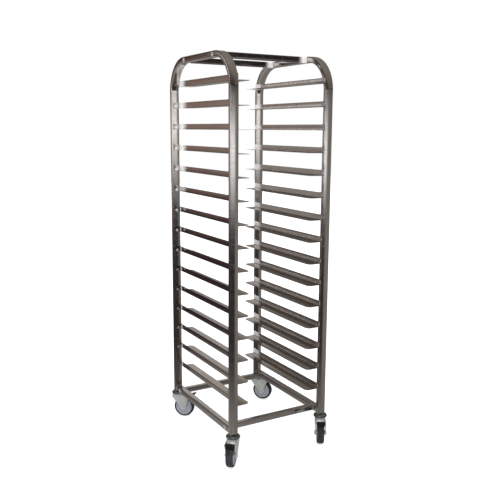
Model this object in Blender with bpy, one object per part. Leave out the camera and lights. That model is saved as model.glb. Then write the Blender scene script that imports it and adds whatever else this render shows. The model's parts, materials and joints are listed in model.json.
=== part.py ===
"""Rolling sheet pan rack: two bent-tube side frames, fifteen pairs of pan slides, swivel casters."""

import math

import bmesh
import bpy
from mathutils import Matrix, Vector

# ---- driving dimensions, in metres ----
HEIGHT = 1.735            # floor to the top of the side frames
WIDTH = 0.496             # across the outer faces of the posts
DEPTH = 0.603             # front face to rear face of the posts
GAP = 0.0003              # left between pieces that touch

TUBE = 0.038              # tube of the side frames, measured across the rack
TUBE_THIN = 0.025         # the same tube, measured in the plane it is bent in
TUBE_CORNER = 0.0045      # outside corner radius of that tube
WALL = 0.0012             # wall of every tube
BEND = 0.150              # outer radius of the two top bends
BEND_STEPS = 10
POST_FOOT = 0.1305        # underside of the posts above the floor

RAIL = 0.028              # square tube that ties each pair of posts low down
RAIL_FOOT = 0.1315
BAR = 0.025               # square tube of the four cross bars
BAR_CORNER = 0.0025
TOP_BAR_Y = 0.140         # cross bars, either side of the middle
TOP_BAR_DROP = 0.002      # top bars sit this far below the frame tops
BASE_BAR_Y = 0.2375

LEVELS = 15
TOP_LEVEL = 1.612         # underside of the highest slide
PITCH = 0.097             # from one level to the next
SLIDE_LEDGE = 0.062       # width of the shelf a pan rests on
SLIDE_FLANGE = 0.025      # height of the upright leg
SLIDE_SHEET = 0.0015
SLIDE_END = 0.290         # half the length of a slide
SLIDE_CLIP = 0.020        # rounding of the free corners

WHEEL_R = 0.050
WHEEL_SIDES = 48          # a flat lies on the floor
TYRE_W = 0.032
HUB_HALF = 0.0212
AXLE_R = 0.005
TRAIL = 0.032             # wheel axle behind the swivel axis
LEG_IN = HUB_HALF + GAP
LEG_OUT = LEG_IN + 0.0028
CROWN_TOP = 0.1177
CROWN_LOW = 0.1137
CROWN_R = 0.029
PLUG_R = 0.0108           # plug that fills the foot of a post
PIVOT = (0.054, 0.104)    # brake pivot: behind the swivel axis, above the floor
PIVOT_R = 0.003

# each caster: which side, which end, and the way its wheel trails in degrees from +X
CASTERS = (
    ("front_left", -1, -1, -131.6),
    ("front_right", 1, -1, -122.1),
    ("rear_left", -1, 1, -40.8),
    ("rear_right", 1, 1, -48.7),
)


def paint(name, rgb, metallic, roughness):
    mat = bpy.data.materials.new(name)
    mat.use_nodes = True
    shader = mat.node_tree.nodes["Principled BSDF"]
    shader.inputs["Base Color"].default_value = (*rgb, 1.0)
    shader.inputs["Metallic"].default_value = metallic
    shader.inputs["Roughness"].default_value = roughness
    return mat


def add(name, verts, faces, mat):
    mesh = bpy.data.meshes.new(name)
    mesh.from_pydata([tuple(v) for v in verts], [], faces)
    bm = bmesh.new()
    bm.from_mesh(mesh)
    bmesh.ops.remove_doubles(bm, verts=bm.verts, dist=1e-7)
    bmesh.ops.recalc_face_normals(bm, faces=bm.faces)
    bm.to_mesh(mesh)
    bm.free()
    obj = bpy.data.objects.new(name, mesh)
    bpy.context.scene.collection.objects.link(obj)
    mesh.materials.append(mat)
    return obj


def combine(obj, other, operation):
    """Boolean the other object into obj, keep the result as plain mesh and drop the tool."""
    mod = obj.modifiers.new("cut", "BOOLEAN")
    mod.solver = "EXACT"
    mod.operation = operation
    mod.object = other
    graph = bpy.context.evaluated_depsgraph_get()
    mesh = bpy.data.meshes.new_from_object(obj.evaluated_get(graph))
    mats = list(obj.data.materials)
    obj.modifiers.remove(mod)
    obj.data = mesh
    mesh.materials.clear()
    mesh.materials.append(mats[0])
    for poly in mesh.polygons:
        poly.material_index = 0
    bpy.data.objects.remove(other)


def section(wide, deep, corner, inset=0.0):
    """Outline of a tube with rounded corners, drawn in by inset."""
    across, up = wide / 2 - inset, deep / 2 - inset
    r = max(corner - inset, 0.0008)
    points = []
    for k, (sx, sy) in enumerate(((1, 1), (-1, 1), (-1, -1), (1, -1))):
        for step in range(3):
            a = math.radians(90 * k + 45 * step)
            points.append((sx * (across - r) + r * math.cos(a), sy * (up - r) + r * math.sin(a)))
    return points


def sweep(name, stations, wide, deep, corner, mat):
    """Open-ended hollow tube; each station is (centre, side vector, up vector)."""
    outer = section(wide, deep, corner)
    inner = section(wide, deep, corner, WALL)
    n = len(outer)
    verts = []
    for centre, side, up in stations:
        for ring in (outer, inner):
            verts += [centre + side * a + up * b for a, b in ring]
    faces = []
    for i in range(len(stations) - 1):
        for shift in (0, n):
            lo, hi = 2 * n * i + shift, 2 * n * (i + 1) + shift
            faces += [(lo + k, lo + (k + 1) % n, hi + (k + 1) % n, hi + k) for k in range(n)]
    for base in (0, 2 * n * (len(stations) - 1)):
        faces += [(base + k, base + (k + 1) % n, base + n + (k + 1) % n, base + n + k) for k in range(n)]
    return add(name, verts, faces, mat)


def hoop(name, x, mat):
    """One side frame: a post, a bend, the top, a bend and the other post."""
    side = Vector((1, 0, 0))
    reach = DEPTH / 2 - TUBE_THIN / 2
    mid = BEND - TUBE_THIN / 2
    stations = [(Vector((x, -reach, POST_FOOT)), side, Vector((0, -1, 0)))]
    for end, start in ((-1, 180), (1, 90)):
        centre = Vector((x, end * (DEPTH / 2 - BEND), HEIGHT - BEND))
        for step in range(BEND_STEPS + 1):
            a = math.radians(start - 90 * step / BEND_STEPS)
            out = Vector((0, math.cos(a), math.sin(a)))
            stations.append((centre + out * mid, side, out))
    stations.append((Vector((x, reach, POST_FOOT)), side, Vector((0, 1, 0))))
    return sweep(name, stations, TUBE, TUBE_THIN, TUBE_CORNER, mat)


def straight(name, start, end, size, mat):
    start, end = Vector(start), Vector(end)
    up = Vector((0, 0, 1))
    side = (end - start).normalized().cross(up)
    return sweep(name, [(start, side, up), (end, side, up)], size, size, BAR_CORNER, mat)


def slide(name, hand, z, mat):
    """Angle with its upright leg on the posts and its shelf pointing inwards."""
    face = WIDTH / 2 - TUBE - GAP
    stations = []
    steps = 4
    for end in (-1, 1):
        arc = []
        for step in range(steps + 1):
            a = math.radians(90 * step / steps)
            back = SLIDE_CLIP * (1 - math.sin(a))
            arc.append((end * (SLIDE_END - SLIDE_CLIP * (1 - math.cos(a))), SLIDE_LEDGE - back))
        stations += arc if end < 0 else arc[::-1]
    t, r = SLIDE_SHEET, 0.002
    verts = []
    for y, ledge in stations:
        angle = ((0, SLIDE_FLANGE), (0, r), (r * 0.3, r * 0.3), (r, 0), (ledge, 0), (ledge, t),
                 (t + 0.001, t), (t, t + 0.001), (t, SLIDE_FLANGE))
        verts += [Vector((hand * (face - d), y, z + h)) for d, h in angle]
    n = 9
    faces = [tuple(range(n)), tuple(n * (len(stations) - 1) + k for k in range(n))]
    for i in range(len(stations) - 1):
        faces += [(n * i + k, n * i + (k + 1) % n, n * (i + 1) + (k + 1) % n, n * (i + 1) + k)
                  for k in range(n)]
    return add(name, verts, faces, mat)


def spin(name, profile, sides, axis, mat, phase=0.0, closed=False):
    """Solid of revolution; profile is (radius, distance along the axis)."""
    verts, faces, rings = [], [], []
    for radius, along in profile:
        ring = []
        count = 1 if radius < 1e-9 else sides
        for k in range(count):
            a = phase + 2 * math.pi * k / sides
            p = (radius * math.cos(a), radius * math.sin(a), along)
            verts.append(Vector(p) if axis == "Z" else Vector((p[0], p[2], p[1])))
            ring.append(len(verts) - 1)
        rings.append(ring)
    pairs = list(zip(rings, rings[1:])) + ([(rings[-1], rings[0])] if closed else [])
    for a, b in pairs:
        for k in range(sides):
            quad = (a[k % len(a)], a[(k + 1) % len(a)], b[(k + 1) % len(b)], b[k % len(b)])
            faces.append(tuple(dict.fromkeys(quad)))
    return add(name, verts, faces, mat)


def plate(name, outline, half, mat):
    """Outline in the X-Z plane, given thickness from -half to +half in Y."""
    n = len(outline)
    verts = [Vector((x, y, z)) for y in (-half, half) for x, z in outline]
    faces = [tuple(range(n)), tuple(range(n, 2 * n))]
    faces += [(k, (k + 1) % n, n + (k + 1) % n, n + k) for k in range(n)]
    return add(name, verts, faces, mat)


def block(name, low, high, mat):
    outline = ((low[0], low[2]), (high[0], low[2]), (high[0], high[2]), (low[0], high[2]))
    obj = plate(name, outline, (high[1] - low[1]) / 2, mat)
    obj.data.transform(Matrix.Translation((0, (high[1] + low[1]) / 2, 0)))
    return obj


def rod(name, radius, half, at, sides, mat):
    obj = spin(name, ((0, -half), (radius, -half), (radius, half), (0, half)), sides, "Y", mat)
    obj.data.transform(Matrix.Translation((at[0], 0, at[1])))
    return obj


def swivel_head(name, mat):
    profile = ((0, 0.1092), (0.0100, 0.1092), (0.0100, CROWN_LOW - GAP), (0.0060, CROWN_LOW - GAP),
               (0.0060, CROWN_TOP + GAP), (0.0260, CROWN_TOP + GAP), (0.0305, 0.1205),
               (0.0312, 0.1240), (0.0290, 0.1275), (0.0225, POST_FOOT - GAP),
               (PLUG_R, POST_FOOT - GAP), (PLUG_R, 0.1640), (PLUG_R - 0.0020, 0.1690), (0, 0.1690))
    return spin(name, profile, 32, "Z", mat)


def fork(name, mat):
    foot = [(TRAIL + 0.014 * math.cos(math.radians(a)), WHEEL_R + 0.014 * math.sin(math.radians(a)))
            for a in range(190, 381, 19)]
    outline = [(-0.0265, CROWN_TOP), (-0.0270, 0.1050)] + foot
    outline += [(0.0500, 0.0780), (0.0610, 0.0990), (0.0615, 0.1065), (0.0560, 0.1115), (0.0300, CROWN_TOP)]
    obj = plate(name, outline, LEG_OUT, mat)
    combine(obj, spin("crown", ((0, CROWN_LOW), (CROWN_R, CROWN_LOW), (CROWN_R, CROWN_TOP), (0, CROWN_TOP)),
                      32, "Z", mat), "UNION")
    combine(obj, block("throat", (-0.1, -LEG_IN, -0.1), (0.1, LEG_IN, CROWN_LOW), mat), "DIFFERENCE")
    combine(obj, rod("axle_hole", AXLE_R + GAP, 0.04, (TRAIL, WHEEL_R), 24, mat), "DIFFERENCE")
    combine(obj, rod("pivot_hole", PIVOT_R + GAP, 0.04, PIVOT, 16, mat), "DIFFERENCE")
    king = spin("king_hole", ((0, 0.10), (0.0064, 0.10), (0.0064, 0.13), (0, 0.13)), 20, "Z", mat)
    combine(obj, king, "DIFFERENCE")
    return obj


def wheel(name, mat):
    full = WHEEL_R / math.cos(math.pi / WHEEL_SIDES)
    half = TYRE_W / 2
    bore = AXLE_R + GAP
    right = [(bore, HUB_HALF), (0.0105, HUB_HALF), (0.0125, 0.0130), (0.0150, 0.0065), (0.0310, 0.0065),
             (0.0345, 0.0140), (0.0385, half - 0.0005), (full - 0.0050, half), (full - 0.0010, half - 0.0045),
             (full, half - 0.0090)]
    profile = right + [(r, -y) for r, y in right[::-1]]
    return spin(name, profile, WHEEL_SIDES, "Y", mat, phase=math.pi / WHEEL_SIDES, closed=True)


def axle(name, mat):
    head, end = LEG_OUT + GAP, 0.0290
    profile = ((0, -end), (0.0070, -end), (0.0080, -end + 0.0015), (0.0080, -head), (AXLE_R, -head),
               (AXLE_R, head), (0.0080, head), (0.0080, end - 0.0015), (0.0070, end), (0, end))
    return spin(name, profile, 24, "Y", mat)


def pedal(name, mat):
    """Foot pedal about its pivot; the low corner of its shoe meets the tyre when pressed."""
    outline = ((-0.0055, 0), (-0.0045, 0.0040), (0, 0.0058), (0.0100, 0.0095), (0.0220, 0.0125),
               (0.0340, 0.0175), (0.0368, 0.0178), (0.0375, 0.0160), (0.0365, 0.0140), (0.0250, 0.0075),
               (0.0165, 0.0020), (0.0155, -0.0090), (0.0125, -0.0125), (0.0070, -0.0085),
               (0.0030, -0.0058), (-0.0035, -0.0045))
    obj = plate(name, outline, 0.0165, mat)
    combine(obj, rod("trunnion", PIVOT_R, LEG_OUT - GAP, (0, 0), 16, mat), "UNION")
    return obj


def build():
    for obj in list(bpy.data.objects):
        bpy.data.objects.remove(obj)
    steel = {}

    def metal(name):
        steel[name] = paint(name, (0.45, 0.44, 0.43), 1.0, 0.25)
        return steel[name]

    post_x = WIDTH / 2 - TUBE / 2
    post_y = DEPTH / 2 - TUBE_THIN / 2
    made = []
    for side, hand in (("left", -1), ("right", 1)):
        made.append(hoop(side + "_hoop", hand * post_x, metal(side + "_hoop_steel")))
        reach, z = DEPTH / 2 - TUBE_THIN - GAP, RAIL_FOOT + RAIL / 2
        made.append(straight(side + "_base_rail", (hand * post_x, -reach, z), (hand * post_x, reach, z),
                             RAIL, metal(side + "_base_rail_steel")))
        for level in range(LEVELS):
            name = "%s_slide_%02d" % (side, level + 1)
            made.append(slide(name, hand, TOP_LEVEL - PITCH * level, metal(name + "_steel")))
    top_reach = WIDTH / 2 - TUBE - GAP
    base_reach = post_x - RAIL / 2 - GAP
    for end, sign in (("front", -1), ("rear", 1)):
        z = HEIGHT - TOP_BAR_DROP - BAR / 2
        name = "top_%s_bar" % end
        made.append(straight(name, (-top_reach, sign * TOP_BAR_Y, z), (top_reach, sign * TOP_BAR_Y, z),
                             BAR, metal(name + "_steel")))
        z = RAIL_FOOT + RAIL / 2
        name = "base_%s_bar" % end
        made.append(straight(name, (-base_reach, sign * BASE_BAR_Y, z), (base_reach, sign * BASE_BAR_Y, z),
                             BAR, metal(name + "_steel")))
    for corner, sx, sy, heading in CASTERS:
        turn = Matrix.Translation((sx * post_x, sy * post_y, 0)) @ Matrix.Rotation(math.radians(heading), 4, "Z")
        at_axle = turn @ Matrix.Translation((TRAIL, 0, WHEEL_R))
        at_pivot = turn @ Matrix.Translation((PIVOT[0], 0, PIVOT[1]))
        pieces = (
            (swivel_head("%s_caster_head" % corner, paint("%s_head_chrome" % corner, (0.7, 0.7, 0.7), 1.0, 0.1)), turn),
            (fork("%s_caster_fork" % corner, paint("%s_fork_zinc" % corner, (0.55, 0.58, 0.55), 1.0, 0.35)), turn),
            (axle("%s_caster_axle" % corner, paint("%s_axle_zinc" % corner, (0.6, 0.6, 0.6), 1.0, 0.3)), at_axle),
            (wheel("%s_caster_wheel" % corner, paint("%s_wheel_rubber" % corner, (0.12, 0.13, 0.15), 0.0, 0.6)), at_axle),
            (pedal("%s_brake_pedal" % corner, paint("%s_pedal_plastic" % corner, (0.02, 0.02, 0.02), 0.0, 0.5)), at_pivot),
        )
        for obj, place in pieces:
            obj.matrix_world = place
            made.append(obj)
    bpy.context.view_layer.update()
    centre_on_origin(made)


def centre_on_origin(made):
    """Shift everything sideways so the middle of the whole rack's box stands on the origin."""
    corners = [obj.matrix_world @ v.co for obj in made for v in obj.data.vertices]
    low = [min(c[k] for c in corners) for k in range(3)]
    high = [max(c[k] for c in corners) for k in range(3)]
    shift = Matrix.Translation((-(low[0] + high[0]) / 2, -(low[1] + high[1]) / 2, 0))
    for obj in made:
        obj.matrix_world = shift @ obj.matrix_world


build()
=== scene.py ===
"""Looks of the rolling sheet pan rack: brushed steel frame and slides, plated casters, moulded wheels."""
import json
import math

import bmesh
import bpy
from mathutils import Matrix, Vector, noise

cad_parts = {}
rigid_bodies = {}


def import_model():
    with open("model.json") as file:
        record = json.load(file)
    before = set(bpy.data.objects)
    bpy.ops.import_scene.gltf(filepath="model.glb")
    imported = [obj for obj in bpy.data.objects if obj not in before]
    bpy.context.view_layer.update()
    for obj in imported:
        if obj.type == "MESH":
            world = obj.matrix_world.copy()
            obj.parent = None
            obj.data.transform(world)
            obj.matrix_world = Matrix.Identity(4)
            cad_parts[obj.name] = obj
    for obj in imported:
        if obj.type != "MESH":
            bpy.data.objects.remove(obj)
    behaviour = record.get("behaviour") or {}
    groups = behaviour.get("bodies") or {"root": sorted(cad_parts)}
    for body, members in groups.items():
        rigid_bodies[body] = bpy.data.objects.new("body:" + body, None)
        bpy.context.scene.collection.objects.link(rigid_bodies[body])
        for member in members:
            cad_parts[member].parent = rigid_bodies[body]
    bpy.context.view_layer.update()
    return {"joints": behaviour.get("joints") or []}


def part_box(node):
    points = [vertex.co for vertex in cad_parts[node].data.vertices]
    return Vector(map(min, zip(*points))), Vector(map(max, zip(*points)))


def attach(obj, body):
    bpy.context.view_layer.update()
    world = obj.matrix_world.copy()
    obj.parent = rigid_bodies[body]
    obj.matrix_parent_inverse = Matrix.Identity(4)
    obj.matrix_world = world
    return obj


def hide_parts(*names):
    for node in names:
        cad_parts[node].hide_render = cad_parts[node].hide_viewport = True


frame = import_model()

SIDES = ("left", "right")
ENDS = ("front", "rear")
CORNERS = ("front_left", "front_right", "rear_left", "rear_right")
LEVELS = 15
GAP = 0.0003                 # between pieces that touch, as in the frame

# ---- tubes ----
TUBE_THIN = 0.025            # side frame tube in the plane it is bent in
BEND = 0.150                 # outer radius of the two bends of a side frame
BEND_STEPS = 28
HOOP_CORNER = 0.0052         # outer corner radius of the side frame tube
BAR_CORNER = 0.0030          # the same for rails and cross bars
POST_SWELL = 6.5             # degrees a drawn tube's face has turned by the time it meets its corner
TOP_SWELL = 1.0              # the same along the top of a side frame
BAR_SWELL = 0.5
WALL = 0.0012
CORNER_STEPS = 6
FACE_STEPS = 6

# ---- slides ----
SHEET = 0.0015
FOLD = 0.0027                # outside radius of the fold
CLIP = 0.020                 # rounding of the shelf's free corners
CLIP_STEPS = 12
INNER_LEG_FROM = 0.1085      # distance round the section at which the inner face of the leg starts

# ---- welds and bolts ----
BEAD = 0.0027                # radius of a weld bead
BEAD_PITCH = 0.0022          # one ripple of weld
SPOT_RADIUS = 0.0068         # ground weld spot on a post
SPOT_RISE = 0.0008
BOLT_HEAD = 0.0075           # radius of a bolt's head
BOLT_RISE = 0.0034
BOLT_WASHER = 0.0010         # thickness
BOLT_SOCKET = 0.0028         # radius

# ---- casters ----
PLATE = 0.0028               # fork sheet
SHOULDER = 0.0085            # bend between crown and leg, at the middle of the sheet
EYE = 0.014                  # rounding of the leg round the axle
LEG_OUT = 0.0243             # outer face of a fork leg, from the wheel's middle plane
APRON_REACH = 0.0222         # half width of the crown's turned-down edge
APRON_BOW = 0.0036
TYRE_INSIDE = 0.0400         # radius at which the tyre meets the core
TYRE_HALF = 0.0160
HUB_HALF = 0.0212            # half length of the wheel's hub
WHEEL_SIDES = 144
SPOKES = 8
SPOKE_LIFT = 0.0016
PLUG = 0.0108                # radius of the plug inside the post
AXLE = 0.0050                # radius of the axle bolt
PEDAL_HALF = 0.0165          # half width of the pedal's tread
PIVOT_HALF = 0.0238          # half length of the pedal's pivot
RIB_PITCH = 0.0042           # between grip ribs on the pedal
RIB_DEPTH = 0.0009


# =====================================================================================================
# Mesh helpers
# =====================================================================================================
def new_piece(name, bm, material, sharp=38):
    """Object from a bmesh, with smooth faces and hard edges where the surface turns by more than sharp."""
    bmesh.ops.recalc_face_normals(bm, faces=bm.faces)
    mesh = bpy.data.meshes.new(name)
    bm.to_mesh(mesh)
    bm.free()
    mesh.polygons.foreach_set("use_smooth", [True] * len(mesh.polygons))
    mesh.set_sharp_from_angle(angle=math.radians(sharp))
    mesh.materials.append(material)
    obj = bpy.data.objects.new(name, mesh)
    bpy.context.scene.collection.objects.link(obj)
    return obj


def soften(obj, width, segments=2, angle=40):
    """Round the hard edges, as tumbling or polishing does."""
    mod = obj.modifiers.new("soft_edges", "BEVEL")
    mod.width = width
    mod.segments = segments
    mod.limit_method = "ANGLE"
    mod.angle_limit = math.radians(angle)
    mod.harden_normals = True
    return obj


def skin(bm, rings, close_ring=True, caps=False):
    """Quads between rings of vertices, with UVs in metres: u along the path, v round the ring."""
    layer = bm.loops.layers.uv.verify()
    n = len(rings[0])
    count = n if close_ring else n - 1
    girth = [0.0]
    for k in range(count):
        girth.append(girth[-1] + (rings[0][(k + 1) % n].co - rings[0][k].co).length)
    along = [0.0]
    for a, b in zip(rings, rings[1:]):
        along.append(along[-1] + (b[0].co - a[0].co).length)
    for i, (a, b) in enumerate(zip(rings, rings[1:])):
        for k in range(count):
            face = bm.faces.new((a[k], a[(k + 1) % n], b[(k + 1) % n], b[k]))
            spots = ((along[i], girth[k]), (along[i], girth[k + 1]),
                     (along[i + 1], girth[k + 1]), (along[i + 1], girth[k]))
            for loop, spot in zip(face.loops, spots):
                loop[layer].uv = spot
    if caps:
        for ring in (rings[0], rings[-1]):
            face = bm.faces.new(ring)
            for loop in face.loops:
                loop[layer].uv = (loop.vert.co.x + loop.vert.co.y, loop.vert.co.z)


def ring_of(bm, points):
    """One ring of new vertices."""
    return [bm.verts.new(p) for p in points]


def aim(bm, centre, out, start=0):
    """Turn the vertices from start onwards from +Z to out, and move them to centre."""
    turn = Vector(out).to_track_quat("Z", "Y").to_matrix().to_4x4()
    bm.verts.ensure_lookup_table()
    bmesh.ops.transform(bm, matrix=Matrix.Translation(centre) @ turn, verts=bm.verts[start:])


def spin(bm, profile, sides, about="Z"):
    """Surface of revolution from (radius, distance along the axis); a zero radius closes it."""
    layer = bm.loops.layers.uv.verify()
    rings = []
    for radius, along in profile:
        count = 1 if radius < 1e-7 else sides
        ring = []
        for k in range(count):
            a = 2 * math.pi * k / sides
            x, y = radius * math.cos(a), radius * math.sin(a)
            ring.append(bm.verts.new((x, y, along) if about == "Z" else (x, along, y)))
        rings.append(ring)
    for i, (a, b) in enumerate(zip(rings, rings[1:])):
        for k in range(sides):
            corner = (a[k % len(a)], a[(k + 1) % len(a)], b[(k + 1) % len(b)], b[k % len(b)])
            face = bm.faces.new(tuple(dict.fromkeys(corner)))
            for loop in face.loops:
                loop[layer].uv = (k / sides, i * 0.01)


def arc(centre, radius, start, stop, steps):
    """Points on an arc, from start to stop degrees."""
    spots = []
    for k in range(steps + 1):
        a = math.radians(start + (stop - start) * k / steps)
        spots.append((centre[0] + radius * math.cos(a), centre[1] + radius * math.sin(a)))
    return spots


# =====================================================================================================
# Materials
# =====================================================================================================
def blend(tree, factor, first, second):
    """Colour from first to second; each is a colour or another output."""
    node = tree.nodes.new("ShaderNodeMix")
    node.data_type = "RGBA"
    tree.links.new(factor, node.inputs["Factor"])
    for index, colour in ((6, first), (7, second)):
        if isinstance(colour, tuple):
            node.inputs[index].default_value = (*colour, 1)
        else:
            tree.links.new(colour, node.inputs[index])
    return node.outputs[2]


class Shader:
    """A Principled material and the few node patterns used here."""

    def __init__(self, name, rgb, metallic, roughness):
        self.material = bpy.data.materials.new(name)
        self.material.use_nodes = True
        self.nodes = self.material.node_tree.nodes
        self.links = self.material.node_tree.links
        self.surface = self.nodes["Principled BSDF"]
        self.surface.inputs["Base Color"].default_value = (*rgb, 1)
        self.surface.inputs["Metallic"].default_value = metallic
        self.surface.inputs["Roughness"].default_value = roughness

    def place(self, kind, scale=(1, 1, 1)):
        """Coordinates of that kind, stretched."""
        source = self.nodes.new("ShaderNodeTexCoord")
        mapping = self.nodes.new("ShaderNodeMapping")
        mapping.inputs["Scale"].default_value = scale
        self.links.new(source.outputs[kind], mapping.inputs["Vector"])
        return mapping.outputs["Vector"]

    def cloud(self, where, scale, detail=3, rough=0.55):
        node = self.nodes.new("ShaderNodeTexNoise")
        node.inputs["Scale"].default_value = scale
        node.inputs["Detail"].default_value = detail
        node.inputs["Roughness"].default_value = rough
        self.links.new(where, node.inputs["Vector"])
        return node.outputs["Fac"]

    def span(self, value, low, high, to_low, to_high):
        """The value from low to high becomes to_low to to_high."""
        node = self.nodes.new("ShaderNodeMapRange")
        ends = {"From Min": low, "From Max": high, "To Min": to_low, "To Max": to_high}
        for socket, number in ends.items():
            node.inputs[socket].default_value = number
        self.links.new(value, node.inputs["Value"])
        return node.outputs["Result"]

    def part(self, vector, axis):
        """One of X, Y and Z of a vector."""
        node = self.nodes.new("ShaderNodeSeparateXYZ")
        self.links.new(vector, node.inputs[0])
        return node.outputs[axis]

    def math(self, operation, *values):
        node = self.nodes.new("ShaderNodeMath")
        node.operation = operation
        for socket, value in zip(node.inputs, values):
            if isinstance(value, (int, float)):
                socket.default_value = value
            else:
                self.links.new(value, socket)
        return node.outputs[0]

    def blend(self, factor, first, second):
        return blend(self, factor, first, second)

    def ridge(self, height, depth, strength=1.0):
        """Bump of that depth in metres."""
        node = self.nodes.new("ShaderNodeBump")
        node.inputs["Strength"].default_value = strength
        node.inputs["Distance"].default_value = depth
        self.links.new(height, node.inputs["Height"])
        self.links.new(node.outputs["Normal"], self.surface.inputs["Normal"])

    def drive(self, socket, value):
        self.links.new(value, self.surface.inputs[socket])


def brushed_steel(name, bright, dark, roughness=0.11, highlight_end=None, inner_highlight_end=None, highlight_from_height=None):
    """Stainless with a lengthwise grain, cloudy polish and faint handling marks; needs UVs in metres.

    The far end is painted pale and rough, a painted highlight: highlight_end gives the two distances along
    the piece between which that sets in, and inner_highlight_end the same for the inner face of a slide's
    leg.
    highlight_from_height gives the two heights between which it fades in elsewhere on a slide."""
    steel = Shader(name, bright, 1.0, roughness)
    fine = steel.cloud(steel.place("UV", (14, 2400, 1)), 1.0, 4, 0.7)
    coarse = steel.cloud(steel.place("UV", (3, 260, 1)), 1.0, 3)
    patches = steel.cloud(steel.place("Object", (1, 1, 1)), 9.0, 4)
    smears = steel.cloud(steel.place("Object", (1, 1, 2.5)), 38.0, 5, 0.65)
    grain = steel.math("MULTIPLY_ADD", coarse, 0.5, fine)
    tone = steel.math("ADD", steel.math("MULTIPLY", patches, 0.55), steel.math("MULTIPLY", grain, 0.30))
    colour = steel.blend(steel.span(tone, 0.35, 0.70, 0.0, 1.0), dark, bright)
    rough = steel.span(smears, 0.35, 0.7, -0.03, 0.05)
    rough = steel.math("ADD", rough, steel.span(grain, 0.5, 1.0, -0.02, 0.03))
    rough = steel.math("ADD", rough, roughness)
    # painted highlight: towards the far end the colour turns pale, rough and hardly metallic
    if highlight_end:
        along = steel.part(steel.place("UV"), "X")
        highlight_mask = steel.span(along, *highlight_end, 0.0, 1.0)
        if inner_highlight_end:
            inner = steel.span(along, *inner_highlight_end, 0.0, 1.0)
            inside = steel.part(steel.place("UV"), "Y")
            inside = steel.span(inside, INNER_LEG_FROM, INNER_LEG_FROM + 0.001, 0.0, 1.0)
            outside = steel.math("SUBTRACT", 1.0, inside)
            # on the outer faces the painted highlight fades in with height, so the higher slides are lighter
            upper = steel.span(steel.part(steel.place("Object"), "Z"), *highlight_from_height, 0.0, 1.0)
            highlight_mask = steel.math("MULTIPLY", steel.math("MULTIPLY", highlight_mask, outside), upper)
            highlight_mask = steel.math("MULTIPLY_ADD", inner, inside, highlight_mask)
        colour = steel.blend(highlight_mask, colour, (0.93, 0.90, 0.88))
        rough = steel.math("MULTIPLY_ADD", highlight_mask, 0.30, rough)
        steel.drive("Metallic", steel.span(highlight_mask, 0.0, 1.0, 1.0, 0.12))
    steel.drive("Base Color", colour)
    steel.drive("Roughness", rough)
    steel.ridge(grain, 0.000004, 0.5)
    return steel.material


def weld_metal(name, straw, grey, metallic, roughness=0.45, glint_fades_below=None):
    """Rippled bead, brushed clean, with a trace of straw heat colour.

    From the second down to the first height in glint_fades_below it turns into plain polished steel."""
    bead = Shader(name, grey, metallic, roughness)
    # painted glint: high up the bead is pale and hardly metallic, lower down it fades to polished steel
    if glint_fades_below:
        height = bead.part(bead.place("Object"), "Z")
        bead.drive("Metallic", bead.span(height, *glint_fades_below, 1.0, metallic))
    heat = bead.cloud(bead.place("Object"), 160.0, 3)
    bead.drive("Base Color", bead.blend(bead.span(heat, 0.35, 0.65, 0.0, 1.0), straw, grey))
    bead.drive("Roughness", bead.span(heat, 0.3, 0.7, roughness - 0.07, roughness + 0.07))
    bead.ridge(bead.cloud(bead.place("Object"), 900.0, 2), 0.00005)
    return bead.material


def plated(name, bright, dark, roughness, scale=70.0, metallic=1.0):
    """Zinc or chrome plating: cloudy, slightly uneven gloss, fine press marks."""
    plate = Shader(name, bright, metallic, roughness)
    cloud = plate.cloud(plate.place("Object"), scale, 4)
    specks = plate.cloud(plate.place("Object"), scale * 9, 2)
    plate.drive("Base Color", plate.blend(plate.span(cloud, 0.35, 0.65, 0.0, 1.0), dark, bright))
    spread = plate.span(specks, 0.3, 0.7, -0.03, 0.05)
    plate.drive("Roughness", plate.math("ADD", spread, roughness))
    plate.ridge(cloud, 0.00006, 0.5)
    return plate.material


def moulded(name, clean, worn, roughness, grain_depth, scale=240.0):
    """Moulded plastic or rubber: fine pebble and scuffed patches."""
    mould = Shader(name, clean, 0.0, roughness)
    pebble = mould.cloud(mould.place("Object"), scale * 4, 2)
    scuff = mould.cloud(mould.place("Object"), scale / 5, 5, 0.65)
    mould.drive("Base Color", mould.blend(mould.span(scuff, 0.42, 0.72, 0.0, 1.0), clean, worn))
    mould.drive("Roughness", mould.span(scuff, 0.3, 0.7, roughness - 0.06, roughness + 0.10))
    mould.surface.inputs["Specular IOR Level"].default_value = 0.25
    mould.ridge(pebble, grain_depth, 0.7)
    return mould.material


FRAME_STEEL = brushed_steel("frame_steel", (0.62, 0.595, 0.58), (0.54, 0.51, 0.49))
# slides: the pale far ends and the lighter outer faces of the higher slides are painted highlight
SLIDE_STEEL = brushed_steel("slide_steel", (0.60, 0.56, 0.535), (0.52, 0.475, 0.45), roughness=0.15,
                            highlight_end=(0.490, 0.536), inner_highlight_end=(0.513, 0.540), highlight_from_height=(1.03, 1.26))
# top bars: darker than the frame steel, a painted dark reflection, with a painted highlight at the far end
DARK_REFLECTION_BAR_STEEL = brushed_steel("bar_steel", (0.29, 0.26, 0.255), (0.23, 0.205, 0.20),
                          highlight_end=(0.374, 0.398))
# rear slide welds: their pale colour is a painted glint
GLINT_WELD = weld_metal("slide_weld", (0.84, 0.79, 0.74), (0.74, 0.75, 0.77), metallic=0.35)
PLAIN_WELD = weld_metal("rail_weld", (0.36, 0.32, 0.29), (0.31, 0.31, 0.32), metallic=0.5)
# weld spots: pale and hardly metallic high up, a painted glint that fades out lower down
GLINT_SPOT = weld_metal("weld_spot", (0.90, 0.87, 0.85), (0.80, 0.80, 0.81), metallic=0.30, roughness=0.30,
                  glint_fades_below=(0.75, 1.20))
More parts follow.
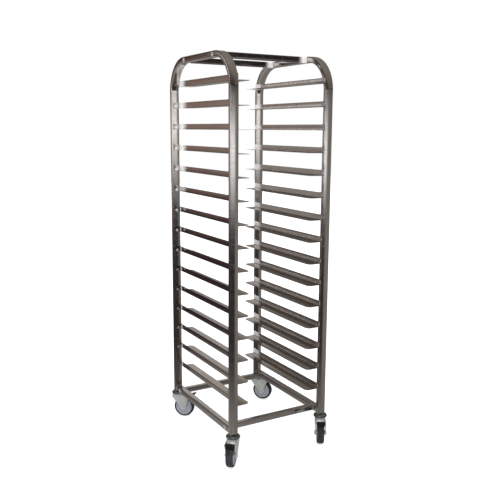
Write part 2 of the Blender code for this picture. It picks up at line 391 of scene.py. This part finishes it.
# chrome: base colour darker and more teal than chrome, a painted dark reflection
CHROME_PAINTED_DARK = plated("head_chrome", (0.33, 0.39, 0.40), (0.25, 0.30, 0.31), 0.10)
ZINC = plated("fork_zinc", (0.72, 0.74, 0.70), (0.60, 0.63, 0.60), 0.34, metallic=0.68)
BOLT_ZINC = plated("bolt_zinc", (0.74, 0.74, 0.72), (0.66, 0.66, 0.64), 0.30, metallic=0.7)
CORE = moulded("wheel_core", (0.29, 0.31, 0.345), (0.36, 0.38, 0.41), 0.42, 0.00003)
TYRE = moulded("wheel_tyre", (0.018, 0.018, 0.020), (0.045, 0.045, 0.047), 0.55, 0.00006)
BLACK = moulded("pedal_black", (0.004, 0.004, 0.006), (0.010, 0.010, 0.012), 0.40, 0.00005)


# =====================================================================================================
# Tubes
# =====================================================================================================
def tube_outline(wide, deep, corner, inset, swell):
    """Points round a drawn tube: each face has turned by swell degrees where it meets its corner."""
    across, up = wide / 2 - inset, deep / 2 - inset
    r = max(corner - inset, 0.0006)
    lean = math.radians(swell)
    slope = math.tan(lean) / 2
    taken = r * (math.cos(lean) + slope * math.sin(lean))
    x = (across - taken - slope * (up - taken)) / (1 - slope ** 2)
    y = up - taken - slope * x
    points = []
    for quarter in range(4):
        if quarter % 2 == 0:
            middle, flat, half = x, y + r * math.sin(lean), across
        else:
            middle, flat, half = y, x + r * math.sin(lean), up
        rise = flat * slope
        turn = Matrix.Rotation(math.radians(90 * quarter), 2)
        for k in range(1, FACE_STEPS):
            t = -1 + 2 * k / FACE_STEPS
            points.append(turn @ Vector((half - rise * t * t, flat * t)))
        along = flat - r * math.sin(lean)
        points += [turn @ Vector(p) for p in arc((middle, along), r, swell, 90 - swell, CORNER_STEPS)]
    return points


def tube(name, stations, wide, deep, corner, material, closed=False):
    """Tube along stations of (centre, side, up, swell): open with a wall, or solid with closed ends."""
    bm = bmesh.new()
    walls = [0.0] if closed else [0.0, WALL]
    skins = []
    for inset in walls:
        rings = []
        for centre, side, up, swell in stations:
            outline = tube_outline(wide, deep, corner, inset, swell)
            rings.append(ring_of(bm, [centre + side * a + up * b for a, b in outline]))
        skin(bm, rings, caps=closed)
        skins.append(rings)
    if not closed:
        for end in (0, -1):
            outer, inner = skins[0][end], skins[1][end]
            n = len(outer)
            for k in range(n):
                bm.faces.new((outer[k], outer[(k + 1) % n], inner[(k + 1) % n], inner[k]))
    return new_piece(name, bm, material)


def hoop(side):
    """One side frame, bent from a single length of tube."""
    node = side + "_hoop"
    low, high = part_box(node)
    x, mid = (low.x + high.x) / 2, (low.y + high.y) / 2
    across = Vector((1, 0, 0))
    stations = [(Vector((x, low.y + TUBE_THIN / 2, low.z)), across, Vector((0, -1, 0)), POST_SWELL)]
    for sign, start in ((-1, 180), (1, 90)):
        centre = Vector((x, mid + sign * ((high.y - low.y) / 2 - BEND), high.z - BEND))
        for step in range(BEND_STEPS + 1):
            a = math.radians(start - 90 * step / BEND_STEPS)
            out = Vector((0, math.cos(a), math.sin(a)))
            swell = POST_SWELL + (TOP_SWELL - POST_SWELL) * math.sin(a) ** 2
            stations.append((centre + out * (BEND - TUBE_THIN / 2), across, out, swell))
    stations.append((Vector((x, high.y - TUBE_THIN / 2, low.z)), across, Vector((0, 1, 0)), POST_SWELL))
    obj = tube(node + "_tube", stations, high.x - low.x, TUBE_THIN, HOOP_CORNER, FRAME_STEEL)
    place(obj, "rack", node)


def rail(node, axis, corner, material):
    """Straight tube standing for a rail or cross bar that runs along X or Y."""
    low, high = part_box(node)
    middle = (low + high) / 2
    reach = (high - low) / 2
    run = Vector((reach.x, 0, 0)) if axis == "X" else Vector((0, reach.y, 0))
    up = Vector((0, 0, 1))
    side = run.normalized().cross(up)
    ends = [(middle - run, side, up, BAR_SWELL), (middle + run, side, up, BAR_SWELL)]
    obj = tube(node + "_tube", ends, 2 * reach.z, 2 * reach.z, corner, material, closed=True)
    place(obj, "rack", node)


def place(obj, body, node):
    """The piece rides on a body and stands for one frame node."""
    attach(obj, body)
    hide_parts(node)


def extra(obj, body):
    """A detail with no frame node of its own."""
    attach(obj, body)


# =====================================================================================================
# Slides
# =====================================================================================================
def slide(side, level):
    """Folded angle: upright leg on the posts, shelf inwards, free corners rounded."""
    node = "%s_slide_%02d" % (side, level)
    low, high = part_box(node)
    hand = -1 if side == "left" else 1
    face = high.x if hand > 0 else low.x
    ledge, flange = high.x - low.x, high.z - low.z
    steps = []
    for end, angles in ((low.y, range(CLIP_STEPS + 1)), (high.y, range(CLIP_STEPS, -1, -1))):
        inward = 1 if end == low.y else -1
        for k in angles:
            a = math.radians(90 * k / CLIP_STEPS)
            steps.append((end + inward * CLIP * (1 - math.cos(a)), ledge - CLIP * (1 - math.sin(a))))
    inner = FOLD - SHEET
    bm = bmesh.new()
    rings = []
    for y, reach in steps:
        section = [(0, flange)] + arc((FOLD, FOLD), FOLD, 180, 270, 5)
        section += [(reach, 0), (reach, SHEET)]
        section += arc((FOLD, FOLD), inner, 270, 180, 4) + [(SHEET, flange)]
        rings.append(ring_of(bm, [Vector((face - hand * d, y, low.z + h)) for d, h in section]))
    skin(bm, rings, caps=True)
    obj = new_piece(node + "_angle", bm, SLIDE_STEEL)
    soften(obj, 0.0003)
    place(obj, "rack", node)


# =====================================================================================================
# Welds and bolts
# =====================================================================================================
def bead(bm, start, end, out):
    """Rippled weld from start to end, half sunk in the corner that out points away from."""
    start, end, out = Vector(start), Vector(end), Vector(out).normalized()
    run = end - start
    side = run.normalized().cross(out)
    steps = max(6, round(run.length / BEAD_PITCH * 2))
    rings = []
    for k in range(steps + 1):
        s = k / steps
        taper = min(1.0, 0.45 + 6 * min(s, 1 - s))
        size = BEAD * taper * (1.0 if k % 2 else 0.82)
        size *= 1 + 0.12 * noise.noise(start * 90 + run * s * 160)
        centre = start + run * s
        rings.append(ring_of(bm, [centre + (out * math.cos(a) * 0.8 + side * math.sin(a)) * size
                                  for a in (math.radians(45 * j) for j in range(8))]))
    skin(bm, rings, caps=True)


def pad(bm, centre, out, radius, rise):
    """Round spot of weld, ground almost flush."""
    start = len(bm.verts)
    spin(bm, [(radius, 0), (radius * 0.8, rise * 0.6), (radius * 0.4, rise * 0.95), (0, rise)], 24)
    aim(bm, centre, out, start)


def slide_welds(side, end):
    """Every bead that holds the slides to one post; those on the rear posts are painted pale, a painted
    glint.
    """
    bm = bmesh.new()
    hand = -1 if side == "left" else 1
    post_low, post_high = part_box(side + "_hoop")
    inner = post_low.x if hand > 0 else post_high.x
    for level in range(1, LEVELS + 1):
        low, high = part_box("%s_slide_%02d" % (side, level))
        if end == "front":
            y, inward, stop = low.y, 1, post_low.y + TUBE_THIN
        else:
            y, inward, stop = high.y, -1, post_high.y - TUBE_THIN
        bead(bm, (inner, y, low.z + 0.005), (inner, y, high.z - 0.002), (-hand, -inward, 0))
        bead(bm, (inner, y + inward * 0.002, high.z), (inner, stop - inward * 0.002, high.z), (-hand, 0, 1))
        bead(bm, (inner, stop, low.z + 0.004), (inner, stop, high.z - 0.002), (hand * 0.2, inward, 0))
    # the rear beads carry the pale painted glint
    metal = GLINT_WELD if end == "rear" else PLAIN_WELD
    extra(new_piece("%s_%s_slide_welds" % (side, end), bm, metal, sharp=180), "rack")


def weld_spots(side):
    """The other ends of those welds, ground off on the faces of the posts that look along the slides.

    The highest slide meets the bend, where there is no flat face for one."""
    bm = bmesh.new()
    post_low, post_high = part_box(side + "_hoop")
    middle = (post_low.x + post_high.x) / 2
    for level in range(1, LEVELS):
        low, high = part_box("%s_slide_%02d" % (side, level))
        for stop, inward in ((post_low.y + TUBE_THIN, 1), (post_high.y - TUBE_THIN, -1)):
            spot = (middle, stop, (low.z + high.z) / 2 - 0.003)
            pad(bm, spot, (0, inward, 0), SPOT_RADIUS, SPOT_RISE)
    # their pale colour is a painted glint
    extra(new_piece(side + "_weld_spots", bm, GLINT_SPOT, sharp=180), "rack")


def rail_welds(side):
    """The beads round both ends of the low rail, and those that hold the low bars to it."""
    bm = bmesh.new()
    hand = -1 if side == "left" else 1
    low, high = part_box(side + "_base_rail")
    for y, inward in ((low.y, 1), (high.y, -1)):
        for x, way in ((low.x, -1), (high.x, 1)):
            bead(bm, (x, y, low.z + 0.003), (x, y, high.z - 0.003), (way, inward, 0))
        for z, way in ((low.z, -1), (high.z, 1)):
            bead(bm, (low.x + 0.003, y, z), (high.x - 0.003, y, z), (0, inward, way))
    inner = low.x if hand > 0 else high.x
    for end in ENDS:
        low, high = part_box("base_%s_bar" % end)
        for y, way in ((low.y, -1), (high.y, 1)):
            bead(bm, (inner, y, low.z + 0.003), (inner, y, high.z - 0.003), (-hand, way, 0))
        for z, way in ((low.z, -1), (high.z, 1)):
            bead(bm, (inner, low.y + 0.003, z), (inner, high.y - 0.003, z), (-hand, 0, way))
    extra(new_piece(side + "_rail_welds", bm, PLAIN_WELD, sharp=180), "rack")


def bolt(name, centre, out):
    """Low round head with a hexagon socket, on a thin washer."""
    bm = bmesh.new()
    top = BOLT_WASHER
    washer = [(0, 0), (BOLT_HEAD * 1.28, 0), (BOLT_HEAD * 1.28, top - 0.0001), (BOLT_HEAD * 1.02, top)]
    dome = [(BOLT_HEAD * math.cos(math.radians(a)), top + BOLT_RISE * math.sin(math.radians(a)))
            for a in range(0, 61, 10)]
    socket = [(BOLT_SOCKET, top + BOLT_RISE * 0.90), (BOLT_SOCKET - 0.0002, top + 0.0004), (0, top + 0.0004)]
    spin(bm, washer + dome + socket, 36)
    aim(bm, centre, out)
    return new_piece(name, bm, BOLT_ZINC)


def bolts():
    """One bolt through each side frame into each upper bar, and through each low rail into each low bar."""
    for side in SIDES:
        hand = -1 if side == "left" else 1
        for bar, held in (("top", "hoop"), ("base", "base_rail")):
            low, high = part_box("%s_%s" % (side, held))
            x = low.x if hand < 0 else high.x
            for end in ENDS:
                bar_low, bar_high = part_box("%s_%s_bar" % (bar, end))
                spot = (x, (bar_low.y + bar_high.y) / 2, (bar_low.z + bar_high.z) / 2)
                obj = bolt("%s_%s_%s_bolt" % (bar, end, side), spot, (hand, 0, 0))
                extra(obj, "rack")


# =====================================================================================================
# Casters: made with the wheel trailing along +X and its axle along Y, then turned into place
# =====================================================================================================
def put(obj, turn, body, node):
    """Turn and move a caster piece to its corner, where it rides on a body."""
    obj.data.transform(turn)
    place(obj, body, node)


def caster_head(corner, turn):
    """Plated cap with a rolled rim, the ball race under it and the plug inside the post."""
    low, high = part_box(corner + "_caster_head")
    rim = (high.x - low.x) / 2
    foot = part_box("left_hoop")[0].z - GAP
    top = high.z
    shell = [(0, top), (0.0070, top), (0.0092, top - 0.0020), (PLUG, top - 0.0050), (PLUG, foot)]
    shell += [(0.0190, foot), (0.0232, foot - 0.0006), (0.0270, foot - 0.0022), (0.0295, foot - 0.0044),
              (rim - 0.0004, foot - 0.0070), (rim, foot - 0.0090), (rim, foot - 0.0106),
              (rim - 0.0006, foot - 0.0116), (rim - 0.0018, foot - 0.0119), (rim - 0.0026, foot - 0.0112),
              (rim - 0.0030, foot - 0.0096)]
    race = [(0.0262, foot - 0.0096), (0.0262, foot - 0.0121), (0.0060, foot - 0.0121)]
    king = [(0.0060, low.z + 0.0042), (0.0098, low.z + 0.0042), (0.0100, low.z + 0.0010), (0.0090, low.z),
            (0, low.z)]
    bm = bmesh.new()
    spin(bm, shell + race + king, 72)
    put(new_piece(corner + "_head_cap", bm, CHROME_PAINTED_DARK, sharp=50), turn, "rack", corner + "_caster_head")


def leg_span(z, trail, axle_z):
    """Front and back edge of a fork leg at height z."""
    def line(points, z):
        for (x0, z0), (x1, z1) in zip(points, points[1:]):
            if z0 <= z <= z1:
                return x0 + (x1 - x0) * (z - z0) / (z1 - z0)
        return points[-1][0] if z > points[-1][1] else points[0][0]

    eye_front = (trail + EYE * math.cos(math.radians(190)), axle_z + EYE * math.sin(math.radians(190)))
    eye_back = (trail + EYE * math.cos(math.radians(19)), axle_z + EYE * math.sin(math.radians(19)))
    front = [eye_front, (-0.0270, 0.1050), (-0.0265, 0.1177)]
    back = [eye_back, (0.0500, 0.0780), (0.0595, 0.0955), (0.0612, 0.1010), (0.0612, 0.1050),
            (0.0590, 0.1085), (0.0545, 0.1115), (0.0440, 0.1145), (0.0310, 0.1166)]
    around = math.sqrt(max(EYE ** 2 - (z - axle_z) ** 2, 1e-8)) if z < axle_z + EYE else 0.0
    left = trail - around if z < eye_front[1] else line(front, z)
    right = trail + around if z < eye_back[1] else line(back, z)
    return left, right


def caster_fork(corner, turn, trail, axle_z):
    """Fork pressed from one sheet: round crown, soft shoulders, legs that taper down to the axle."""
    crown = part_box(corner + "_caster_fork")[1].z - PLATE / 2
    half = LEG_OUT - PLATE / 2
    rows = []
    for k in range(9):
        a = math.radians(-88 + 88 * k / 8)
        rows.append((half, axle_z + EYE * math.sin(a)))
    straight = crown - SHOULDER - axle_z
    rows += [(half, axle_z + straight * k / 16) for k in range(1, 17)]
    rows += [(half - SHOULDER + y, z) for y, z in arc((0, crown - SHOULDER), SHOULDER, 0, 90, 8)[1:]]
    flat = half - SHOULDER
    rows += [(flat * (1 - k / 6), crown) for k in range(1, 7)]
    rows += [(-y, z) for y, z in rows[-2::-1]]
    columns = 18
    disc = 0.0290
    bm = bmesh.new()
    rings = []
    for y, z in rows:
        left, right = leg_span(z, trail, axle_z)
        if z > crown - SHOULDER:
            lift = (z - (crown - SHOULDER)) / SHOULDER
            left = left + (-math.sqrt(disc ** 2 - min(abs(y), 0.020) ** 2) - left) * lift
        ring = []
        for k in range(columns + 1):
            x = left + (right - left) * k / columns
            near = math.hypot(x - trail, z - axle_z)
            boss = press = 0.0
            if abs(y) > flat:
                boss = 0.0007 * max(0.0, 1 - (near / 0.0115) ** 6)
                press = 0.0011 * math.exp(-((x - 0.004 - 0.4 * trail) / 0.009) ** 2)
                press *= max(0.0, min(1.0, (z - 0.066) / 0.010, (0.106 - z) / 0.010))
            way = 1 if y > 0 else -1
            ring.append(Vector((x, y + way * (boss - press), z)))
        rings.append(ring_of(bm, ring))
    skin(bm, rings, close_ring=False)
    obj = new_piece(corner + "_fork_pressing", bm, ZINC, sharp=60)
    sheet = obj.modifiers.new("sheet", "SOLIDIFY")
    sheet.thickness = PLATE - 0.0008
    sheet.offset = 0
    soften(obj, 0.0005, 2, 50)
    put(obj, turn, corner + "_swivel", corner + "_caster_fork")


def fork_apron(corner, turn):
    """The crown's trailing edge, drawn down between the legs over the wheel."""
    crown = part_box(corner + "_caster_fork")[1].z - PLATE / 2
    drop = [(0.0220, 0.0), (0.0290, -0.0004), (0.0345, -0.0018), (0.0385, -0.0042), (0.0410, -0.0076),
            (0.0420, -0.0112)]
    bm = bmesh.new()
    rings = []
    for k in range(17):
        y = APRON_REACH * (k / 8 - 1)
        bow = APRON_BOW * (1 - (y / APRON_REACH) ** 2)
        edge = [Vector((x + bow * min(1.0, 0.2 - 200 * z), y, crown + z)) for x, z in drop]
        rings.append(ring_of(bm, edge))
    skin(bm, rings, close_ring=False)
    obj = new_piece(corner + "_fork_apron", bm, ZINC, sharp=60)
    sheet = obj.modifiers.new("sheet", "SOLIDIFY")
    sheet.thickness = 0.0016
    sheet.offset = -1
    put(obj, turn, corner + "_swivel", corner + "_caster_fork")


def both_sides(profile):
    """A closed profile from its half on one side of the wheel's middle plane."""
    whole = profile + [(r, -y) for r, y in profile[::-1]]
    return whole + whole[:1]


def wheel_core(corner, turn):
    """Moulded core: rim, hub and a web with shallow spokes."""
    half = [(0.0053, HUB_HALF), (0.0098, HUB_HALF), (0.0106, HUB_HALF - 0.0008), (0.0112, 0.0150),
            (0.0128, 0.0098), (0.0165, 0.0084), (0.0210, 0.0080), (0.0265, 0.0080), (0.0305, 0.0086),
            (0.0330, 0.0108), (0.0342, 0.0138), (0.0352, 0.0147), (0.0386, 0.0147),
            (TYRE_INSIDE - 0.0004, 0.0140)]
    bm = bmesh.new()
    spin(bm, both_sides(half), WHEEL_SIDES, "Y")
    bmesh.ops.remove_doubles(bm, verts=bm.verts, dist=1e-7)
    for v in bm.verts:
        radius = math.hypot(v.co.x, v.co.z)
        if 0.0130 < radius < 0.0300 and abs(v.co.y) < 0.0105:
            angle = math.atan2(v.co.z, v.co.x)
            spoke = 0.5 + 0.5 * math.cos(SPOKES * angle)
            lift = SPOKE_LIFT * max(0.0, min(1.0, (spoke - 0.62) / 0.2))
            v.co.y += math.copysign(lift, v.co.y)
    obj = new_piece(corner + "_wheel_core", bm, CORE, sharp=45)
    put(obj, turn, corner + "_roller", corner + "_caster_wheel")


def wheel_tyre(corner, turn, r):
    """Rubber tyre of radius r, round shouldered, with a fine parting line round the tread."""
    h = TYRE_HALF
    half = [(TYRE_INSIDE, 0.0144), (0.0412, h - 0.0002), (0.0432, h), (0.0452, h - 0.0004),
            (0.0474, h - 0.0019), (0.0488, h - 0.0044), (0.0496, h - 0.0080), (0.04985, h - 0.0120),
            (r - 0.00005, 0.0009), (r - 0.0003, 0.0003)]
    bm = bmesh.new()
    spin(bm, both_sides(half), WHEEL_SIDES, "Y")
    bmesh.ops.remove_doubles(bm, verts=bm.verts, dist=1e-7)
    obj = new_piece(corner + "_wheel_tyre", bm, TYRE, sharp=60)
    put(obj, turn, corner + "_roller", corner + "_caster_wheel")


def hexagon(radius, y, turn):
    """Six corners round the Y axis, turned by some degrees."""
    angles = [math.radians(60 * k + turn) for k in range(6)]
    return [Vector((radius * math.cos(a), y, radius * math.sin(a))) for a in angles]


def caster_axle(corner, turn):
    """Bolt through the fork, with a washer and a hexagon at each end."""
    face = LEG_OUT + GAP
    bm = bmesh.new()
    for sign in (-1, 1):
        washer = [(0, -0.0002), (AXLE, 0), (0.0094, 0), (0.0096, 0.0002), (0.0096, 0.0010), (AXLE, 0.0012),
                  (0, 0.0012)]
        spin(bm, [(r, sign * (face + y)) for r, y in washer], 36, "Y")
        sizes = ((0.0074, 0.0012), (0.0074, 0.0040), (0.0066, 0.0046))
        rings = [ring_of(bm, hexagon(r, sign * (face + y), 15)) for r, y in sizes]
        skin(bm, rings, caps=True)
    spin(bm, [(0, -face), (AXLE, -face), (AXLE, face), (0, face)], 32, "Y")
    obj = new_piece(corner + "_axle_bolt", bm, BOLT_ZINC, sharp=30)
    put(obj, turn, corner + "_swivel", corner + "_caster_axle")


def brake_pedal(corner, turn):
    """Moulded pedal: curved tread with grip ribs, cheeks and the shoe that meets the tyre."""
    top = [(-0.0052, 0.0012), (-0.0040, 0.0042), (0, 0.0058), (0.0100, 0.0095), (0.0220, 0.0125),
           (0.0300, 0.0152), (0.0345, 0.0174), (0.0368, 0.0176)]
    under = [(0.0374, 0.0158), (0.0362, 0.0140), (0.0250, 0.0078), (0.0180, 0.0030), (0.0165, -0.0010),
             (0.0158, -0.0085), (0.0128, -0.0120), (0.0075, -0.0088), (0.0030, -0.0058), (-0.0035, -0.0042)]
    outline = []
    for (x0, z0), (x1, z1) in zip(top, top[1:]):
        outline.append((x0, z0))
        if 0 <= x0 < 0.030:
            slope = Vector((x1 - x0, z1 - z0))
            up = Vector((-slope.y, slope.x)).normalized() * RIB_DEPTH
            count = max(1, round(slope.length / RIB_PITCH))
            for k in range(count):
                for s, rise in ((0.30, -1), (0.42, 0), (0.78, 0), (0.90, -1)):
                    t = (k + s) / count
                    outline.append((x0 + slope.x * t + up.x * rise, z0 + slope.y * t + up.y * rise))
    outline.append(top[-1])
    outline += under
    bm = bmesh.new()
    rings = [ring_of(bm, [Vector((x, y, z)) for x, z in outline]) for y in (-PEDAL_HALF, PEDAL_HALF)]
    skin(bm, rings, caps=True)
    spin(bm, [(0, -PIVOT_HALF), (0.0030, -PIVOT_HALF), (0.0030, PIVOT_HALF), (0, PIVOT_HALF)], 24, "Y")
    obj = new_piece(corner + "_pedal_moulding", bm, BLACK, sharp=30)
    soften(obj, 0.0004, 2, 35)
    put(obj, turn, corner + "_brake", corner + "_brake_pedal")


def caster(corner):
    """All six pieces of one caster, trailing the way its axle lies from its king pin."""
    joints = {j["name"]: j for j in frame["joints"]}
    low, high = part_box(corner + "_caster_head")
    pivot = Vector((*((low + high) / 2).to_2d(), 0))
    axle_at = Vector(joints[corner + "_wheel_spin"]["pos_m"])
    pedal_at = Vector(joints[corner + "_brake_press"]["pos_m"])
    behind = axle_at - pivot
    heading = Matrix.Rotation(math.atan2(behind.y, behind.x), 4, "Z")
    trail = behind.to_2d().length
    at_pin, at_axle, at_pedal = (Matrix.Translation(spot) @ heading for spot in (pivot, axle_at, pedal_at))
    caster_head(corner, at_pin)
    caster_fork(corner, at_pin, trail, axle_at.z)
    fork_apron(corner, at_pin)
    wheel_core(corner, at_axle)
    wheel_tyre(corner, at_axle, axle_at.z)
    caster_axle(corner, at_axle)
    brake_pedal(corner, at_pedal)


# =====================================================================================================
# Studio
# =====================================================================================================
class World:
    """A pale room for the camera and for soft light, with dark and bright zones for the steel to reflect."""

    def __init__(self):
        world = bpy.data.worlds.new("studio")
        bpy.context.scene.world = world
        world.use_nodes = True
        self.nodes = world.node_tree.nodes
        self.links = world.node_tree.links
        self.nodes.clear()
        source = self.nodes.new("ShaderNodeTexCoord")
        split = self.nodes.new("ShaderNodeSeparateXYZ")
        self.links.new(source.outputs["Generated"], split.inputs[0])
        x, y, z = split.outputs
        self.height = self.math("MULTIPLY", self.math("ARCSINE", z), 180 / math.pi)
        bearing = self.math("ARCTAN2", x, self.math("MULTIPLY", y, -1.0))
        self.bearing = self.math("MULTIPLY", bearing, 180 / math.pi)

    def math(self, operation, a, b=0.0):
        node = self.nodes.new("ShaderNodeMath")
        node.operation = operation
        for socket, value in zip(node.inputs, (a, b)):
            if isinstance(value, float):
                socket.default_value = value
            else:
                self.links.new(value, socket)
        return node.outputs[0]

    def heights(self, stops):
        """Brightness by elevation, from (degrees, colour) stops."""
        ramp = self.nodes.new("ShaderNodeValToRGB")
        scale = self.nodes.new("ShaderNodeMapRange")
        scale.inputs["From Min"].default_value = -90
        scale.inputs["From Max"].default_value = 90
        self.links.new(self.height, scale.inputs["Value"])
        self.links.new(scale.outputs["Result"], ramp.inputs["Fac"])
        elements = ramp.color_ramp.elements
        while len(elements) > 1:
            elements.remove(elements[-1])
        for k, (degrees, colour) in enumerate(stops):
            spot = 0.5 + degrees / 180
            element = elements[0] if k == 0 else elements.new(spot)
            element.position = spot
            element.color = (*colour, 1)
        return ramp.outputs["Color"]

    def ease(self, value, low, high):
        """0 below low, 1 above high, smooth between."""
        node = self.nodes.new("ShaderNodeMapRange")
        node.interpolation_type = "SMOOTHSTEP"
        node.inputs["From Min"].default_value = low
        node.inputs["From Max"].default_value = high
        self.links.new(value, node.inputs["Value"])
        return node.outputs["Result"]

    def between(self, value, low, high, soft):
        """1 from low to high, with soft edges."""
        rise = self.ease(value, low - soft, low + soft)
        fall = self.ease(value, high - soft, high + soft)
        return self.math("SUBTRACT", rise, fall)

    def zone(self, bearings, bearing_soft, heights, height_soft):
        """1 inside a patch of the room given by two bearings and two elevations."""
        across = self.between(self.bearing, *bearings, bearing_soft)
        return self.math("MULTIPLY", across, self.between(self.height, *heights, height_soft))

    def finish(self, reflected, seen, light):
        """Glossy rays meet reflected, the camera sees seen, everything else is lit by light."""
        rays = self.nodes.new("ShaderNodeLightPath")
        colour = blend(self, rays.outputs["Is Glossy Ray"], light, reflected)
        colour = blend(self, rays.outputs["Is Camera Ray"], colour, seen)
        back = self.nodes.new("ShaderNodeBackground")
        out = self.nodes.new("ShaderNodeOutputWorld")
        self.links.new(colour, back.inputs["Color"])
        self.links.new(back.outputs["Background"], out.inputs["Surface"])


def tone(value, warm=0.0):
    """A grey of that brightness, or a warm one."""
    return (value * (1 + warm), value, value * (1 - warm))


def studio():
    """Bearings are degrees from straight in front of the rack, positive towards its right side."""
    room = World()
    walls = room.heights((
        (-90, tone(0.30, 0.06)), (-30, tone(0.24, 0.06)), (-22, tone(0.22, 0.07)), (-12, tone(0.26, 0.07)),
        (0, tone(0.22, 0.10)), (4, tone(0.24, 0.10)), (9, tone(0.15, 0.12)), (16, tone(0.15, 0.13)),
        (24, tone(0.17, 0.13)), (34, tone(0.20, 0.12)), (60, tone(0.26, 0.10)), (90, tone(0.38, 0.04))))
    left = room.heights((
        (-90, tone(0.40, 0.04)), (-26, tone(0.36, 0.06)), (-22.5, tone(0.17, 0.06)),
        (-19, tone(0.035, 0.10)), (-9, tone(0.03, 0.06)), (-7, tone(0.08)), (-4.6, tone(0.5)),
        (-2.4, tone(1.25)), (0, tone(1.6)), (2.2, tone(0.7)), (4.5, tone(0.12, 0.1)), (9, tone(0.04)),
        (20, tone(0.07, 0.1)), (45, tone(0.18, 0.1)), (90, tone(0.38, 0.04))))
    behind = room.heights((
        (-90, tone(0.36, 0.05)), (-25, tone(0.34, 0.06)), (-22, tone(0.18, 0.06)),
        (-19, (0.040, 0.026, 0.028)), (-13, (0.036, 0.022, 0.024)), (-9, (0.090, 0.055, 0.050)),
        (-5, (0.22, 0.145, 0.12)), (-1, (0.36, 0.24, 0.20)), (3.5, (0.21, 0.135, 0.105)),
        (5.5, (0.070, 0.032, 0.014)), (9, (0.060, 0.030, 0.016)), (18, tone(0.09, 0.10)),
        (28, tone(0.14, 0.08)), (50, tone(0.22, 0.08)), (90, tone(0.38, 0.04))))
    back_left = room.math("SUBTRACT", 1.0, room.between(room.bearing, -137, 172, 5))
    colour = blend(room, room.between(room.bearing, -132, 29.5, 5), walls, left)
    colour = blend(room, back_left, colour, behind)
    doorway = (-152, -136)
    patches = (
        (doorway, 1.5, (-7, 3.0), 1.5, tone(0.36, 0.05)),
        (doorway, 1.5, (5.5, 7.2), 0.4, tone(1.35)),
        (doorway, 1.5, (8.5, 19), 1.5, tone(0.17, 0.08)),
        ((150, 170), 1, (13.5, 28), 3, tone(0.50, 0.04)),
        ((16, 75), 5, (4.6, 7.5), 0.3, tone(0.012)),
    )
    for bearings, bearing_soft, heights, height_soft, patch in patches:
        colour = blend(room, room.zone(bearings, bearing_soft, heights, height_soft), colour, patch)
    room.finish(colour, seen=(1.0, 1.0, 1.0), light=(0.95, 0.96, 1.0))


def floor():
    """White floor that casts soft light upwards and isn't seen in the steel."""
    bm = bmesh.new()
    bmesh.ops.create_grid(bm, x_segments=1, y_segments=1, size=14)
    ground = Shader("floor_white", (0.86, 0.86, 0.86), 0.0, 0.9)
    mottle = ground.cloud(ground.place("Object"), 1.5, 2)
    ground.drive("Base Color", ground.blend(mottle, (0.84, 0.84, 0.84), (0.90, 0.90, 0.90)))
    ground.surface.inputs["Emission Color"].default_value = (1, 1, 1, 1)
    ground.surface.inputs["Emission Strength"].default_value = 0.55
    obj = new_piece("studio_floor", bm, ground.material)
    obj.location.z = -0.0002
    obj.visible_glossy = False


def lamp(name, at, size, power):
    """Round area lamp aimed at the middle of the rack."""
    light = bpy.data.lights.new(name, "AREA")
    light.shape = "DISK"
    light.size = size
    light.energy = power
    obj = bpy.data.objects.new(name, light)
    obj.location = at
    obj.rotation_mode = "QUATERNION"
    obj.rotation_quaternion = (Vector((0, 0, 0.7)) - Vector(at)).to_track_quat("-Z", "Y")
    bpy.context.scene.collection.objects.link(obj)
    return obj


def lamps():
    """The key lamp gives soft light only; its highlights fall on nothing but the casters."""
    at = (-2.6, -3.4, 4.2)
    key = lamp("key", at, 1.6, 90)
    key.visible_glossy = False
    glint = lamp("caster_glint", at, 1.6, 90)
    glint.visible_diffuse = False
    glossy = bpy.data.collections.new("caster_pieces")
    for obj in bpy.context.scene.objects:
        if obj.type == "MESH" and obj.name.startswith(CORNERS):
            glossy.objects.link(obj)
    glint.light_linking.receiver_collection = glossy


def camera():
    """Stands to the left of the front, a little below the top of the rack, and looks slightly down."""
    yaw, pitch, roll = math.radians(29.864), math.radians(10.078), math.radians(0.337)
    ahead = Vector((math.sin(yaw) * math.cos(pitch), math.cos(yaw) * math.cos(pitch), -math.sin(pitch)))
    level = Vector((math.cos(yaw), -math.sin(yaw), 0))
    above = level.cross(ahead)
    right = level * math.cos(roll) + above * math.sin(roll)
    up = above * math.cos(roll) - level * math.sin(roll)
    data = bpy.data.cameras.new("camera")
    data.sensor_width = 36
    data.lens = 48.936
    obj = bpy.data.objects.new("camera", data)
    turn = Matrix((right, up, -ahead)).transposed().to_4x4()
    obj.matrix_world = Matrix.Translation((-1.5322, -2.6708, 1.4210)) @ turn
    bpy.context.scene.collection.objects.link(obj)
    bpy.context.scene.camera = obj


# =====================================================================================================
for which in SIDES:
    hoop(which)
    rail(which + "_base_rail", "Y", BAR_CORNER, FRAME_STEEL)
    for number in range(1, LEVELS + 1):
        slide(which, number)
    for end in ENDS:
        slide_welds(which, end)
    weld_spots(which)
    rail_welds(which)
for which in ENDS:
    rail("top_%s_bar" % which, "X", BAR_CORNER, DARK_REFLECTION_BAR_STEEL)
    rail("base_%s_bar" % which, "X", BAR_CORNER, FRAME_STEEL)
bolts()
for which in CORNERS:
    caster(which)
studio()
floor()
lamps()
camera()
bpy.context.scene.view_settings.view_transform = "Standard"
